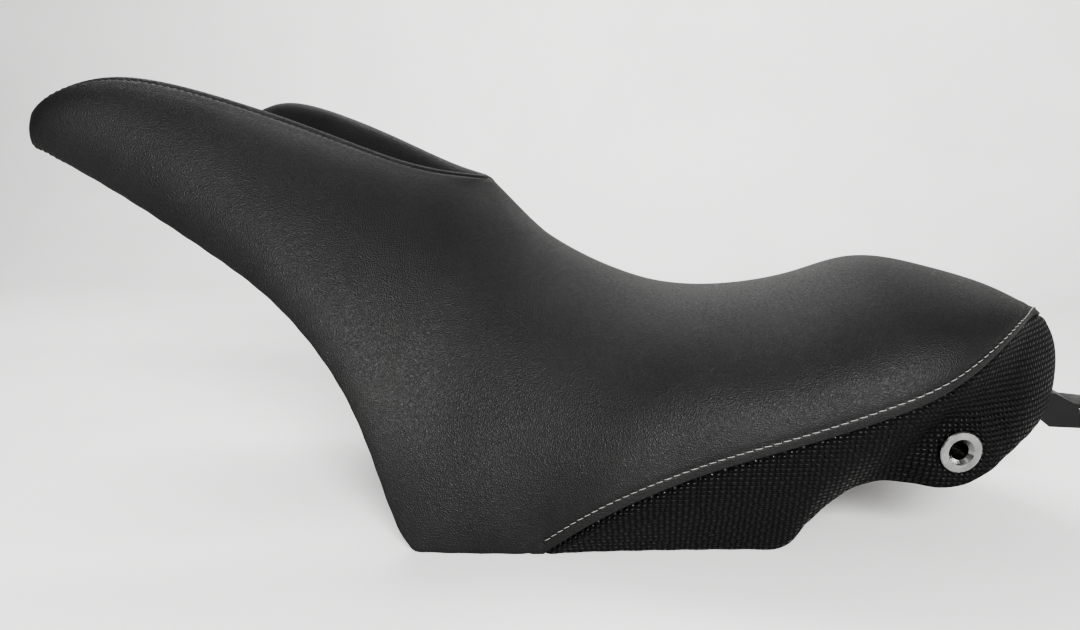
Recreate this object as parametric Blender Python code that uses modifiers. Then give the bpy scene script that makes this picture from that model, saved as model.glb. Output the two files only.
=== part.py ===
"""Motorcycle rider's seat with a forked nose, modelled as the pieces it is sewn and bolted from.

The outer skin is a loft: a section runs from the top line down to the bottom edge at every station
along the seat.  Station 0 is the front edge of a nose prong.  Positive stations run along the outer
side to the middle of the tail, negative ones along the inner side to the middle of the tank notch.
The covers, the foam and the pan are all taken from that one skin, so they nest with a set clearance.
Lengths are in metres, +X points to the tail, +Z up, and the rider's left is -Y.
"""
import math

import bmesh
import bpy
import numpy as np
from mathutils import Matrix, Vector
from mathutils.bvhtree import BVHTree

MM = 0.001

# Size of the seat without its hook, and the size at which the tables further down are drawn
SEAT_LENGTH = 641.4 * MM
SEAT_WIDTH = 305.5 * MM
SEAT_HEIGHT = 285.8 * MM
DRAWN = (641.4, 305.5, 285.8)
SCALE = (SEAT_LENGTH / DRAWN[0], SEAT_WIDTH / DRAWN[1], SEAT_HEIGHT / DRAWN[2])

# Sheets, shells and the clearance between pieces that touch
COVER_T = 1.5 * MM
PAN_T = 3.0 * MM
GAP = 0.3 * MM
SEAM_GAP = 1.4 * MM

# Rim of the pan and the hem of the cover that is turned up round it
FLANGE_H = 14.0 * MM
LEDGE = 6.0 * MM
NOTCH_LEDGE = 10.0 * MM
HEM_H = 8.0 * MM

# Ribs under the pan
RIB_H = 9.0 * MM
RIB_T = 3.0 * MM
RIB_FIRST = 10.6
RIB_LAST = 14.3
RIB_INDEX = 3
CROSS_RIBS = (11.3, 13, 14.3)

# Flanged bush in each side of the tail, its nut and its boss in the pan
BUSH_X = 0.87 * SEAT_LENGTH
BUSH_Z = 0.243 * SEAT_HEIGHT
BUSH_FLANGE_R = 12.5 * MM
BUSH_FLANGE_T = 3.0 * MM
BUSH_SLEEVE_R = 7.5 * MM
BUSH_BORE_R = 5.3 * MM
BUSH_SINK_R = 7.8 * MM
BUSH_SINK_DEPTH = 2.6 * MM
BUSH_EDGE = 0.6 * MM
BOSS_R = 10.5 * MM
BOSS_L = 17.0 * MM
NUT_R = 11.0 * MM
NUT_T = 5.0 * MM
SLEEVE_PROUD = 1.2 * MM

# Rubber buffers under the pan
BUFFER_R = 11.0 * MM
BUFFER_H = 10.0 * MM
BUFFER_FOOT_R = 8.5 * MM
BUFFER_STEM_R = 3.5 * MM
BUFFER_PAD_H = 5.0 * MM
BUFFER_PAD_RIM = 1.5 * MM
STEM_SHORT = 1.2 * MM
BUFFER_PLACES = (("front", 0.549 * SEAT_LENGTH, 34 * MM), ("middle", 0.664 * SEAT_LENGTH, 34 * MM),
                 ("rear", 0.843 * SEAT_LENGTH, 36 * MM))

# Screws that hold the hook and the tongue
SCREW_HEAD_R = 5.0 * MM
SCREW_HEAD_H = 3.2 * MM
SCREW_R = 2.8 * MM
SOCKET_R = 2.0 * MM
SOCKET_DEPTH = 1.8 * MM

# Rear hook and front tongue
HOOK_W = 34.0 * MM
HOOK_BASE_T = 4.0 * MM
HOOK_BASE_L = 34.0 * MM
HOOK_BASE_BACK = 46.0 * MM
HOOK_SCREW_Y = 10.0 * MM
HOOK_ARM_L = 14.0 * MM
HOOK_REACH = 34.0 * MM
HOOK_DROP = 7.5 * MM
HOOK_LIP_L = 17.0 * MM
HOOK_LIP_T = 3.0 * MM
HOOK_SLOT_H = 3.5 * MM
HOOK_BLOCK_L = 7.0 * MM
HOOK_BLOCK_H = 22.0 * MM
RIM_CLEAR = 2.5 * MM
TONGUE_W = 56.0 * MM
TONGUE_T = 3.0 * MM
TONGUE_X = 0.468 * SEAT_LENGTH
TONGUE_BASE_L = 34.0 * MM
TONGUE_REACH = 46.0 * MM
TONGUE_SCREW_Y = 18.0 * MM
TONGUE_BEND = 0.4

# Rows: top line, upper handle, lower handle and bottom edge of one section, in millimetres from
# the nose, the centre plane and the floor.  These rows are the tank notch, from its middle forward.
NOTCH_ROWS = (
    ((256, 0, 223.4), (247, 0, 231), (240, 0, 204), (241, 0, 181)),
    ((243, 34, 225.5), (236, 27, 233), (228, 23, 206), (231, 25, 184)),
    ((212, 63, 233), (206, 53, 242), (203, 43, 216), (206, 46, 192)),
    ((165, 82, 251), (161, 70, 261), (160, 61, 232), (163, 64, 206)),
    ((112, 102, 270.5), (108, 89, 280), (108, 79, 250), (110, 82, 220)),
    ((52, 123.5, 284.6), (48, 110, 292), (48, 99, 264), (50, 102.5, 236)),
    ((14, 137, 276), (8, 123, 278), (5, 112, 264), (6, 114, 248)),
)
# The outer side, from the front edge of the prong to the middle of the tail.
SIDE_ROWS = (
    ((2, 138, 266), (-8, 134, 264), (-11, 130, 252), (-3, 128, 242)),
    ((14, 137, 276), (13, 150, 271), (5, 151, 251), (5, 143, 240)),
    ((52, 123.5, 284.6), (56, 145, 275.5), (53, 154, 243), (52, 143.5, 216)),
    ((112, 102, 270.5), (120, 128, 257), (117, 155, 213), (115, 145.5, 179)),
    ((165, 82, 251), (176, 110, 236), (170, 156, 186), (163, 148.5, 145)),
    ((212, 63, 233), (228, 97, 214), (216, 154, 147), (203, 150.5, 95)),
    ((243, 34, 225.5), (248, 92, 212), (243, 155, 112), (226, 151, 39)),
    ((256, 0, 223.4), (262, 92, 211), (262, 158, 98), (242, 151, 4)),
    ((266, 0, 212), (270, 96, 206), (281, 161, 96), (263, 149.5, 0)),
    ((290, 0, 185.5), (290, 104, 185.5), (304, 163, 96), (296, 144.5, 0)),
    ((330, 0, 160.5), (330, 112, 160.5), (330, 164, 99), (323, 138, 0)),
    ((372, 0, 149), (372, 118, 149), (368, 166, 102), (368, 126, 0)),
    ((420, 0, 148.3), (420, 116, 148.3), (420, 163, 110), (414, 115, 0)),
    ((468, 0, 157.5), (468, 108, 157.5), (468, 162, 118), (455, 107, 0)),
    ((509, 0, 170), (509, 105, 170), (512, 158, 132), (489, 105, 30)),
    ((552, 0, 165.5), (552, 95, 165.5), (551, 146, 143), (521, 106, 47)),
    ((588, 0, 155.5), (588, 70, 155.5), (586, 108, 150), (560, 111, 48)),
    ((606, 0, 148), (606, 45, 148), (603, 70, 147), (594, 92, 66)),
    ((616, 0, 142), (616, 22, 142), (616, 34, 143), (620, 52, 78)),
    ((621, 0, 139), (623, 0, 137.8), (625, 0, 136.3), (634, 0, 90)),
)
# The sewn seam between the main panel and the woven side panel, from its start at the bottom edge.
SEAM_ROWS = (
    (323, 138, 0), (366, 148.8, 32), (420, 149.6, 58.5), (468, 147.6, 75.8), (512.5, 143.8, 92.5),
    (551, 133, 109.7), (582.5, 103, 129.5), (600, 72, 138), (615, 38, 139), (626.5, 0, 135),
)
# Fullness of the tail below the seam, one value a station from the seam's start.
TAIL_FULLNESS = (0, 0, 0, 0, 2, 4, 6, 8, 9, 9)
# Columns of the tables, and the stations of the notch's apex, the seam's start and the tail.
TOP, UPPER_HANDLE, LOWER_HANDLE, EDGE = range(4)
APEX = len(NOTCH_ROWS)
TAIL = len(SIDE_ROWS) - 1
SEAM_START = TAIL + 1 - len(SEAM_ROWS)
# Stations between which the seat stands on its bottom edge.
REST_FIRST = 7.6
REST_LAST = 13
# Middle line of the pan's deck behind the notch.
DECK_ROWS = (
    (277, 0, 168), (302, 0, 136), (335, 0, 112), (372, 0, 98), (420, 0, 95), (468, 0, 99),
    (509, 0, 106), (548, 0, 110), (576, 0, 110), (592, 0, 109), (601, 0, 108), (606, 0, 108),
)
# Share of its span over which the deck leaves the middle line level, and of its height over which
# the wall rises from the ledge, with the stations round the bush where it stands upright
DECK_FLAT = 0.3
WALL_RISE = 0.5
BUSH_STATION = 15.6
BUSH_SPREAD = 1.6
# Stations over which the deck turns level behind the notch, and turns to face the tail
LEVEL_FROM = APEX - 0.5
LEVEL_OVER = 1.5
TAIL_TURN = 3
NOSE_X = -7.4 * SCALE[0]
ORIGIN_X = (NOSE_X + SIDE_ROWS[TAIL][EDGE][0] * SCALE[0] + HOOK_REACH) / 2

# How finely the loft is cut into facets
COLUMNS = (0, 0.5, 1.2, 2, 3, 3.8, 4.6, 5.4, 6.1, 6.6, 7, 7.6, 8.4, 9.2, 10, 10.6, 11.3, 12, 13,
           13.6, 14.3, 15, 15.6, 16.2, 16.8, 17.4, 18, 18.5, 19)
SKIN_ROWS = 7
DECK_CUTS = 5
SEAM_CUTS = 28
FINE = 40
ROUND_SIDES = 24
BUFFER_SIDES = 16
SCREW_SIDES = 12
NUT_SIDES = 6
# How closely a piece is felt for the faces of another, and the stations searched for the bush
FEEL_POINTS = 9
FEEL_RINGS = (0.4, 0.7, 1)
BUSH_SEARCH = np.linspace(14, 18, 121)
# Small steps: between stations for a direction, at the seam's start, and for welding
STEP = 0.01
TINY = 1e-12
SEAM_LEAD = 0.025
OVERRUN_ROWS = 3
ON_CENTRE = 0.05 * MM
WELD = 0.01 * MM
SEAM_REACH = 14.0 * MM

UP = np.array((0.0, 0.0, 1.0))
SIDEWAYS = np.array((0.0, 1.0, 0.0))
ALONG = np.array((1.0, 0.0, 0.0))
LEFT = -1
SIDES = (("left", LEFT), ("right", -LEFT))


def spline(points, at):
    """Natural cubic spline through the points, which lie at 0, 1, 2 and so on."""
    p = np.asarray(points, float)
    n = len(p)
    matrix = np.eye(n)
    bend = np.zeros_like(p)
    for i in range(1, n - 1):
        matrix[i, i - 1:i + 2] = (1, 4, 1)
        bend[i] = 6 * (p[i - 1] - 2 * p[i] + p[i + 1])
    m = np.linalg.solve(matrix, bend)
    i = min(max(int(at), 0), n - 2)
    s = at - i
    r = 1 - s
    return r * p[i] + s * p[i + 1] + (r ** 3 - r) * m[i] / 6 + (s ** 3 - s) * m[i + 1] / 6


def past_centre(rows):
    """Carry a line on past the centre plane at its end, so that it crosses the plane squarely."""
    p = np.asarray(rows, float)
    return np.vstack((p, (p[-1 - OVERRUN_ROWS:-1] * (1, -1, 1))[::-1]))


def guide(column, k):
    """Point at station k on one of the lines that run all round the skin."""
    rows = [row[column] for row in NOTCH_ROWS + SIDE_ROWS]
    whole = past_centre(past_centre(rows)[::-1])[::-1]
    point = spline(whole * SCALE, k + APEX + OVERRUN_ROWS)
    if column == EDGE and REST_FIRST <= k <= REST_LAST:
        point[2] = 0
    return point


def top_line(k):
    """Seam over the prong up to the apex of the notch, then the middle line of the seat."""
    if k <= APEX:
        return spline(past_centre([row[TOP] for row in SIDE_ROWS[:APEX + 1]]) * SCALE, abs(k))
    return spline(np.asarray([row[TOP] for row in SIDE_ROWS[APEX:]]) * SCALE, k - APEX)


def seam_line(k):
    return spline(past_centre(SEAM_ROWS) * SCALE, k - SEAM_START)


def bezier(p0, p1, p2, p3, cuts):
    t = np.linspace(0, 1, cuts + 1)[:, None]
    s = 1 - t
    return s ** 3 * p0 + 3 * s * s * t * p1 + 3 * s * t * t * p2 + t ** 3 * p3


def unit(v):
    return v / np.linalg.norm(v)


def plan_inward(k):
    """Level direction from the bottom edge towards the inside of the seat."""
    along = guide(EDGE, k + STEP) - guide(EDGE, k - STEP)
    return unit(np.array((along[1], -along[0], 0)))


def section(k):
    """Fine run of points down the outer skin at station k, from the top line to the bottom edge."""
    edge = guide(EDGE, k)
    handle = guide(LOWER_HANDLE, k)
    if k <= SEAM_START:
        return bezier(top_line(k), guide(UPPER_HANDLE, k), handle, edge, FINE)
    seam = seam_line(k)
    upper = bezier(top_line(k), guide(UPPER_HANDLE, k), handle, seam, FINE)
    third = (edge - seam) / 3
    full = spline(np.asarray(TAIL_FULLNESS, float)[:, None], k - SEAM_START)[0] * MM
    first = seam + unit(seam - handle) * np.linalg.norm(third)
    second = edge - third - plan_inward(k) * full
    return np.vstack((upper, bezier(seam, first, second, edge, FINE)[1:]))


def along_run(run, lengths):
    """Points on a run of points at the given distances from its start."""
    steps = np.linalg.norm(np.diff(run, axis=0), axis=1)
    reach = np.concatenate(((0,), np.cumsum(steps)))
    return np.stack([np.interp(lengths, reach, run[:, axis]) for axis in range(3)], axis=1)


def run_length(run):
    return np.linalg.norm(np.diff(run, axis=0), axis=1).sum()


class Lip:
    """One station of the skin, with the directions and the slant of the faces at its bottom edge."""

    def __init__(self, k):
        run = section(k)
        even = np.linspace(0, 1, SKIN_ROWS + 1)
        eased = (even + (1 - np.cos(even * math.pi)) / 2) / 2
        self.skin = along_run(run, eased * (run_length(run) - FLANGE_H))
        self.edge = run[-1]
        self.wall = unit(self.skin[-1] - self.edge)
        self.inward = plan_inward(k)
        self.ledge = LEDGE + (NOTCH_LEDGE - LEDGE) * (min(k, 0) / APEX) ** 2
        along = guide(EDGE, k + STEP) - guide(EDGE, k - STEP)
        self.cos_wall = abs(self.inward @ unit(np.cross(along, self.wall)))
        self.cos_base = abs(self.wall @ unit(np.cross(along, self.inward)))

    def at(self, inside, up):
        """Point at a distance square to the wall inside it, and at a height up along it."""
        return self.edge + self.inward * inside / self.cos_wall + self.wall * up

    def hem(self, depth=0.0):
        """Hem's outer side, or a face inside it: round the foot of the rim and up its inner side."""
        width = 2 * COVER_T + 3 * GAP + PAN_T - depth
        foot = depth / self.cos_base
        return [self.at(depth, foot), self.at(width, foot), self.at(width, HEM_H)]

    def rim(self):
        """Outer side of the pan's rim: foot, top of the flange and back of the foam's ledge."""
        skin = COVER_T + GAP
        return [self.at(skin, skin / self.cos_base), self.at(skin, FLANGE_H - GAP),
                self.at(skin + self.ledge, FLANGE_H - GAP)]

    def rim_inside(self):
        """Foot and top of the inner side of the rim."""
        skin = COVER_T + GAP
        return [self.at(skin + PAN_T, skin / self.cos_base),
                self.at(skin + PAN_T, FLANGE_H - GAP - PAN_T)]

    def foam_foot(self):
        """Lower edge of the foam's skin, just above the ledge of the pan."""
        return self.at(COVER_T + GAP, FLANGE_H + GAP)


class Loft:
    """Grids of points for one half of the seat, that the soft pieces and the pan are made from."""

    def __init__(self):
        self.side = [Lip(k) for k in COLUMNS]
        self.notch = [Lip(-k) for k in COLUMNS if k <= APEX]
        # The seam runs on from the prong's top into its front edge without a corner
        corner = (self.side[0].skin[1] + self.side[1].skin[0]) / 2
        self.side[0].skin[0] = self.notch[0].skin[0] = corner
        self.apex = len(self.notch) - 1
        self.pan = np.array([self.pan_run(index) for index in range(len(COLUMNS))])

    def deck_end(self, index):
        """Inner end of the pan's section: the inner ledge in the prongs, then the middle line."""
        if index <= self.apex:
            return self.notch[index].rim()[2]
        start = self.notch[self.apex].rim()[2]
        rows = np.vstack((start, np.asarray(DECK_ROWS) * SCALE))
        return spline(rows, COLUMNS[index] - APEX)

    def pan_run(self, index):
        """Outer face of the pan at one column, from the back of the ledge to the inner end."""
        k = COLUMNS[index]
        ledge = self.side[index].rim()[2]
        end = self.deck_end(index)
        span = np.linalg.norm(end - ledge)
        if span < WELD:
            return np.repeat(ledge[None], DECK_CUTS + 1, axis=0)
        rise = unit(self.side[index].wall + UP / 2)
        behind_notch = np.clip((k - LEVEL_FROM) / LEVEL_OVER, 0, 1)
        at_tail = np.clip((k - TAIL) / TAIL_TURN + 1, 0, 1)
        across = unit((ledge - end) * (at_tail, 1, 0)) if k > APEX else SIDEWAYS
        level = unit((1 - behind_notch) * unit(ledge - end) + behind_notch * across)
        upright = WALL_RISE + (1 - WALL_RISE) * max(0, 1 - abs(k - BUSH_STATION) / BUSH_SPREAD)
        lift = max(end[2] - ledge[2], span / 3) * upright
        return bezier(ledge, ledge + rise * lift, end + level * span * DECK_FLAT, end, DECK_CUTS)

    def skin_normals(self):
        """Outward directions on the side and in the notch, shared along the seams where they meet."""
        side_n = grid_normals(np.array([lip.skin for lip in self.side]))
        notch_n = -grid_normals(np.array([lip.skin for lip in self.notch]))
        prong = slice(0, self.apex + 1)
        shared_top = side_n[prong, 0] + notch_n[:, 0]
        shared_nose = side_n[0] + notch_n[0]
        side_n[prong, 0] = notch_n[:, 0] = unit_rows(shared_top)
        side_n[0] = notch_n[0] = unit_rows(shared_nose)
        side_n[0, :2] = notch_n[0, :2] = side_n[1, 0] + side_n[0, 2]
        side_n[self.apex:, 0, 1] = 0
        notch_n[-1, :, 1] = 0
        side_n[-1, :, 1] = 0
        return unit_rows(side_n), unit_rows(notch_n)

    def inside(self, depth):
        """The skin moved inward: the side and the notch, down to the top of the pan's flange."""
        moved = []
        for lips, normals in zip((self.side, self.notch), self.skin_normals()):
            grid = np.array([lip.skin for lip in lips]) - depth * normals
            grid[:, -1] = [lip.at(depth, FLANGE_H) for lip in lips]
            moved.append(grid)
        return moved

    def cover(self, lips, inner_skin):
        """Outer and inner face of a cover, from its top edge to the end of its hem."""
        outer = np.array([np.vstack((lip.skin, lip.hem())) for lip in lips])
        inner = np.array([np.vstack((skin, lip.hem(COVER_T))) for lip, skin in zip(lips, inner_skin)])
        return outer, inner

    def bed_normals(self):
        """Downward directions on the pan's deck, shared with the ledges and kept in the centre plane."""
        normals = grid_normals(self.pan)
        side_wall = np.array([lip.wall for lip in self.side])
        notch_wall = np.array([lip.wall for lip in self.notch])
        prong = slice(0, self.apex + 1)
        normals[:, 0] = unit_rows(normals[:, 0] - side_wall)
        normals[prong, -1] = unit_rows(normals[prong, -1] - notch_wall)
        normals[self.apex:, -1, 1] = 0
        normals[-1, :, 1] = 0
        normals[0] = -side_wall[0]
        return unit_rows(normals)

    def pan_body(self):
        """Closed half of the pan: its upper face, its under face and the feet of its rims."""
        under = self.pan + PAN_T * self.bed_normals()
        rim = np.array([lip.rim() for lip in self.side])
        top = np.concatenate((rim[:, 1:2], self.pan), axis=1)
        inner = np.array([np.vstack((lip.rim_inside(), run)) for lip, run in zip(self.side, under)])
        notch_rim = np.array([lip.rim() for lip in self.notch])
        notch_inner = np.array([np.vstack((lip.rim_inside(), run[-1]))
                                for lip, run in zip(self.notch, under)])
        return [(rim[:, 1::-1], False), (top, True), (inner, False),
                (rim_strip(rim[:, 0], inner[:, 0]), False),
                (notch_rim[:, 1::-1], True), (notch_rim[:, 1:], False), (notch_inner, True),
                (rim_strip(notch_rim[:, 0], notch_inner[:, 0]), True)]

    def foam_body(self):
        """Closed half of the foam: skin, notch wall, and the faces that lie on the pan."""
        side, notch = self.inside(COVER_T + GAP)
        prong = slice(0, self.apex + 1)
        bed = self.pan - 2 * GAP * self.bed_normals()
        side[:, -1] = [lip.foam_foot() for lip in self.side]
        notch[:, -1] = [lip.foam_foot() for lip in self.notch]
        foot = rim_strip(side[:, -1], bed[:, 0])
        notch_foot = rim_strip(notch[:, -1], bed[prong, -1])
        return [(side, False), (foot, False), (bed, False), (notch_foot, True), (notch, True)]


def rim_strip(first, second):
    """Strip of faces between two lines of points."""
    return np.stack((first, second), axis=1)


def unit_rows(vectors):
    return vectors / np.maximum(np.linalg.norm(vectors, axis=-1, keepdims=True), TINY)


def grid_normals(grid):
    """Unit normals of a grid whose columns run to the tail and whose rows run down the outer side."""
    return unit_rows(np.cross(np.gradient(grid, axis=0), np.gradient(grid, axis=1)))


def collection(name):
    made = bpy.data.collections.new(name)
    bpy.context.scene.collection.children.link(made)
    return made


def material(name, colour, roughness, metallic=0.0):
    made = bpy.data.materials.new(name)
    made.use_nodes = True
    shader = made.node_tree.nodes["Principled BSDF"]
    shader.inputs["Base Color"].default_value = (*colour, 1)
    shader.inputs["Roughness"].default_value = roughness
    shader.inputs["Metallic"].default_value = metallic
    return made


def add_part(name, mesh, finish):
    made = bpy.data.objects.new(name, mesh)
    PARTS.objects.link(made)
    mesh.materials.append(finish)
    return made


def add_cutter(name, mesh):
    made = bpy.data.objects.new(name, mesh)
    CUTTERS.objects.link(made)
    made.hide_render = True
    made.display_type = "WIRE"
    return made


def place(point, side=LEFT):
    """From distances along the seat to the model's own frame, on one side of it."""
    across = 0 if abs(point[1]) < ON_CENTRE else point[1]
    return Vector((point[0] - ORIGIN_X, across * side, point[2]))


def grids_mesh(name, grids, side=LEFT):
    """Sheet or body joined from grids of points, some facing the other way, with shared edges welded."""
    bm = bmesh.new()
    for grid, turned in grids:
        columns = [[bm.verts.new(place(point, side)) for point in column] for column in grid]
        for a, b in zip(columns, columns[1:]):
            for i in range(len(a) - 1):
                cell = (a[i], a[i + 1], b[i + 1], b[i])
                if all(vert.co.y == 0 for vert in (a[i], b[i], b[i + 1])):
                    cell = (a[i + 1], b[i + 1], b[i], a[i])
                for corners in (cell[:3], cell[2:] + cell[:1]):
                    bm.faces.new(corners if turned == (side != LEFT) else corners[::-1])
    bmesh.ops.remove_doubles(bm, verts=bm.verts, dist=WELD)
    return finished(name, bm)


def tube_mesh(name, sections, side=LEFT, cap_end=True):
    """Closed body lofted through sections that all have the same number of corners."""
    bm = bmesh.new()
    rings = [[bm.verts.new(place(point, side)) for point in section] for section in sections]
    for a, b in zip(rings, rings[1:]):
        for i in range(len(a)):
            j = (i + 1) % len(a)
            bm.faces.new((a[i], b[i], b[j], a[j]))
    bm.faces.new(rings[0])
    if cap_end:
        bm.faces.new(rings[-1])
    bmesh.ops.recalc_face_normals(bm, faces=bm.faces)
    return finished(name, bm)


def finished(name, bm):
    mesh = bpy.data.meshes.new(name)
    bm.to_mesh(mesh)
    bm.free()
    return mesh


def cylinder_mesh(name, radius, low, high, sides=ROUND_SIDES):
    """Cylinder round the local Z axis between two heights."""
    bm = bmesh.new()
    bmesh.ops.create_cone(bm, cap_ends=True, segments=sides, radius1=radius, radius2=radius,
                          depth=high - low)
    bmesh.ops.translate(bm, verts=bm.verts, vec=(0, 0, (low + high) / 2))
    return finished(name, bm)


def turned_mesh(name, profile):
    """Closed profile of radius and height, to be turned round the local Z axis."""
    bm = bmesh.new()
    verts = [bm.verts.new((radius, 0, height)) for radius, height in profile]
    for a, b in zip(verts, verts[1:]):
        bm.edges.new((a, b))
    if profile[0][0] > 0:
        bm.edges.new((verts[-1], verts[0]))
    return finished(name, bm)


def turn(obj, sides=ROUND_SIDES):
    made = obj.modifiers.new("Screw", "SCREW")
    made.axis = "Z"
    made.angle = math.tau
    made.steps = sides
    made.render_steps = sides
    made.use_merge_vertices = True
    made.merge_threshold = WELD
    made.use_smooth_shade = True


def mirror(obj):
    made = obj.modifiers.new("Mirror", "MIRROR")
    made.use_axis = (False, True, False)
    made.merge_threshold = WELD


def boolean(obj, other, operation):
    made = obj.modifiers.new(other.name, "BOOLEAN")
    made.operation = operation
    made.object = other
    made.solver = "EXACT"


def axis_frame(point, axis):
    """Placement that puts the local Z axis along a direction at a point."""
    return Matrix.Translation(point) @ axis.to_track_quat("Z", "Y").to_matrix().to_4x4()


def below_seam(shift, both_sides):
    """Sections of the solid that holds all of the cover below the sewn seam."""
    sections = []
    for k in np.linspace(SEAM_START + (0 if both_sides else SEAM_LEAD), TAIL, SEAM_CUTS):
        seam = seam_line(k)
        along = unit(seam_line(k + STEP) - seam_line(k - STEP))
        rise = guide(LOWER_HANDLE, k) - seam
        rise = unit(rise - along * (rise @ along))
        out = np.cross(rise, along) * SEAM_REACH
        start = seam + rise * shift
        low = guide(EDGE, k) - UP * SEAM_REACH
        aside = plan_inward(k) * SEAM_REACH * 2
        sections.append([start - out, start + out, low - aside, low + aside])
    sections = np.array(sections)
    sections[-1, :, 1] = 0 if both_sides else SEAM_GAP / 2
    return sections


def make_cover(loft, finish):
    """Main panel over the seat, cut off along the seam, and the inside of the tank notch."""
    side_in, notch_in = loft.inside(COVER_T)
    outer, inner = loft.cover(loft.side, side_in)
    prong = slice(0, loft.apex + 1)
    grids = [(outer, False), (inner, True), (rim_strip(outer[:, -1], inner[:, -1]), False),
             (rim_strip(inner[prong, 0], outer[prong, 0]), False), (np.stack((inner[0], outer[0])), False)]
    main = add_part("cover_main", grids_mesh("cover_main", grids), finish)
    mirror(main)
    cutter = add_cutter("cut_main", tube_mesh("cut_main", below_seam(SEAM_GAP / 2, True), LEFT, False))
    mirror(cutter)
    boolean(main, cutter, "DIFFERENCE")
    outer, inner = loft.cover(loft.notch, notch_in)
    for grid in (outer, inner):
        grid[:, 0] += unit_rows(grid[:, 1] - grid[:, 0]) * SEAM_GAP
        grid[0] += unit_rows(grid[1] - grid[0]) * SEAM_GAP
    grids = [(outer, True), (inner, False), (rim_strip(outer[:, -1], inner[:, -1]), True),
             (rim_strip(inner[:, 0], outer[:, 0]), True), (np.stack((inner[0], outer[0])), True)]
    insert = add_part("cover_insert", grids_mesh("cover_insert", grids), finish)
    mirror(insert)


def make_side_panels(loft, finish):
    """Woven panel on each side, from the seam down to the hem."""
    first = COLUMNS.index(SEAM_START) - 1
    outer, inner = loft.cover(loft.side[first:], loft.inside(COVER_T)[0][first:])
    grids = [(outer, False), (inner, True), (rim_strip(outer[:, -1], inner[:, -1]), False),
             (rim_strip(inner[:, 0], outer[:, 0]), False), (np.stack((inner[0], outer[0])), False),
             (np.stack((outer[-1], inner[-1])), False)]
    panels = []
    for name, side in SIDES:
        panel = add_part("cover_weave_" + name, grids_mesh("cover_weave_" + name, grids, side), finish)
        cut = add_cutter("keep_" + name, tube_mesh("keep_" + name, below_seam(-SEAM_GAP / 2, False), side))
        boolean(panel, cut, "INTERSECT")
        panels.append(panel)
    return panels


def make_foam(loft, finish):
    foam = add_part("foam_core", grids_mesh("foam_core", loft.foam_body()), finish)
    mirror(foam)
    return foam


def rib_sections(points, across):
    """Rectangular sections of a rib that hangs below a run of points on the pan."""
    half = np.asarray(across) * RIB_T / 2
    top = np.asarray(points) - UP * PAN_T / 2
    foot = top - UP * (PAN_T / 2 + RIB_H)
    return np.stack((top - half, top + half, foot + half, foot - half), axis=1)


def make_pan(loft, finish):
    """Moulded pan with its rim and its ribs."""
    pan = add_part("seat_pan", grids_mesh("seat_pan", loft.pan_body()), finish)
    mirror(pan)
    long_run = [i for i, k in enumerate(COLUMNS) if RIB_FIRST <= k <= RIB_LAST]
    ribs = [("rib_middle", rib_sections(loft.pan[long_run, -1], SIDEWAYS), LEFT)]
    for name, side in SIDES:
        ribs.append(("rib_" + name, rib_sections(loft.pan[long_run, RIB_INDEX], SIDEWAYS), side))
    for k in CROSS_RIBS:
        half = loft.pan[COLUMNS.index(k), 2:]
        whole = np.vstack((half, half[-2::-1] * (1, -1, 1)))
        ribs.append((f"rib_cross_{k}", rib_sections(whole, ALONG), LEFT))
    for name, sections, side in ribs:
        boolean(pan, add_cutter(name, tube_mesh(name, sections, side)), "UNION")
    return pan


def bush_frame(side):
    """Point on the skin and its outward direction where the bush sits."""
    best = None
    for k in BUSH_SEARCH:
        run = section(k)
        off = np.hypot(run[:, 0] - BUSH_X, run[:, 2] - BUSH_Z)
        i = int(np.argmin(off))
        if best is None or off[i] < best[0]:
            best = (off[i], k, i)
    k, i = best[1:]
    run = section(k)
    down = run[i + 1] - run[i - 1]
    along = section(k + STEP)[i] - section(k - STEP)[i]
    axis = unit(np.cross(along, down))
    return place(run[i], side), Vector((axis[0], axis[1] * side, axis[2]))


class Feeler:
    """Finds faces of a finished piece along straight lines."""

    def __init__(self, obj):
        bpy.context.view_layer.update()
        graph = bpy.context.evaluated_depsgraph_get()
        bm = bmesh.new()
        bm.from_object(obj, graph)
        self.tree = BVHTree.FromBMesh(bm)
        bm.free()

    def under(self, x, y):
        """Point and upward direction of the lower face at a distance along and across the seat."""
        point, normal = self.tree.ray_cast(Vector((x - ORIGIN_X, y, 0)), Vector((0, 0, 1)))[:2]
        return point, -normal

    def lowest(self, x, half_width):
        return min(self.under(x, y)[0].z for y in np.linspace(-half_width, half_width, FEEL_POINTS))

    def patch(self, frame, radius):
        """Points of the outer face over a round patch."""
        found = []
        for share in FEEL_RINGS:
            for angle in np.linspace(0, math.tau, ROUND_SIDES, endpoint=False):
                local = Vector((math.cos(angle), math.sin(angle), 0)) * radius * share
                start = frame @ (local + Vector((0, 0, BOSS_L)))
                found.append(self.tree.ray_cast(start, -frame.col[2].to_3d())[0])
        return found

    def settle(self, frame, radius):
        """The same placement, turned to lie flat on the face."""
        points = np.array(self.patch(frame, radius))
        middle = points.mean(axis=0)
        axis = Vector(np.linalg.svd(points - middle)[2][-1])
        if axis.dot(frame.col[2].to_3d()) < 0:
            axis.negate()
        return axis_frame(Vector(middle), axis)

    def heights(self, frame, radius):
        return [(frame.inverted() @ point).z for point in self.patch(frame, radius)]


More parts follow.
